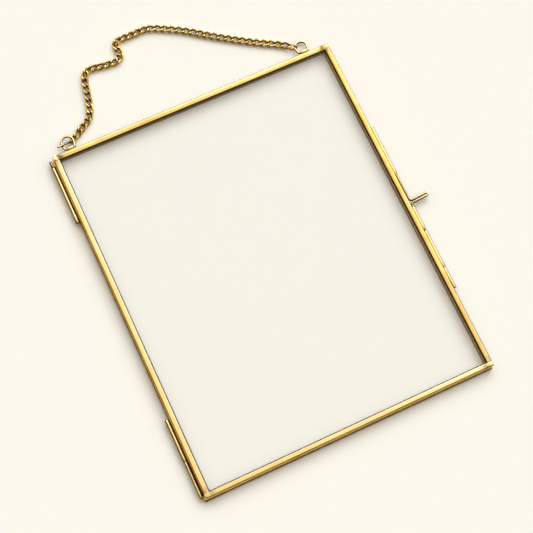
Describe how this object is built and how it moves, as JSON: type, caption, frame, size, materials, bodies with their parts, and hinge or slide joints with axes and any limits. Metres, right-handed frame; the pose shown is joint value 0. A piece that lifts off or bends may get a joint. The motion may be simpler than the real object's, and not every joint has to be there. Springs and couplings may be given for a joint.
{
  "type": "glass picture frame",
  "caption": "Double-glazed brass picture frame: hinged glass leaves that close on a print, a sliding pull pin that locks them, and a hanging chain on wire rings.",
  "frame": {"origin": "middle of the rear bottom rail's flat back face, which lies on the wall or the table", "axes": "+X right, +Y up the frame towards the hanging chain, +Z out of the front pane; the rest pose is the pictured one, lying on its back with the chain laid out"},
  "size_m": [0.2296, 0.3237, 0.0074],
  "materials": {
    "brass_rail": "polished folded strip, soldered at the corners, lightly tarnished",
    "brass_tube": "drawn tube, satin",
    "brass_wire": "bright bent wire",
    "brass_chain": "bright curb chain, darker between the links",
    "clear_glass": "clear flat picture glass"
  },
  "bodies": {
    "rear_leaf": {"rear_top_rail": "brass_rail", "rear_bottom_rail": "brass_rail", "rear_left_rail": "brass_rail", "rear_right_rail": "brass_rail", "rear_glass_pane": "clear_glass", "hinge_upper_rear_knuckle": "brass_tube", "hinge_upper_pin": "brass_wire", "hinge_lower_rear_knuckle": "brass_tube", "hinge_lower_pin": "brass_wire", "clasp_upper_keeper": "brass_tube", "clasp_lower_keeper": "brass_tube", "left_ring_tube": "brass_tube", "right_ring_tube": "brass_tube"},
    "front_leaf": {"front_top_rail": "brass_rail", "front_bottom_rail": "brass_rail", "front_left_rail": "brass_rail", "front_right_rail": "brass_rail", "front_glass_pane": "clear_glass", "hinge_upper_front_knuckle": "brass_tube", "hinge_lower_front_knuckle": "brass_tube", "clasp_upper_guide_tube": "brass_tube", "clasp_lower_guide_tube": "brass_tube"},
    "pull_pin": {"clasp_pull_pin": "brass_wire"},
    "hanger": {"left_hanging_ring": "brass_wire", "right_hanging_ring": "brass_wire", "chain_toggle_bar": "brass_chain", "hanging_chain": "brass_chain"}
  },
  "joints": [
    {"name": "front_leaf_hinge", "type": "hinge", "parent": "rear_leaf", "child": "front_leaf", "pos_m": [-0.10655, 0.1263, 0.0036], "axis": [0, -1, 0], "range_deg": [0, 180]},
    {"name": "pull_pin_slide", "type": "slide", "parent": "front_leaf", "child": "pull_pin", "axis": [0, 1, 0], "range_m": [0, 0.017]},
    {"name": "hanger_swing", "type": "hinge", "parent": "rear_leaf", "child": "hanger", "pos_m": [0, 0.257, 0.0036], "axis": [1, 0, 0], "range_deg": [0, 60]}
  ]
}
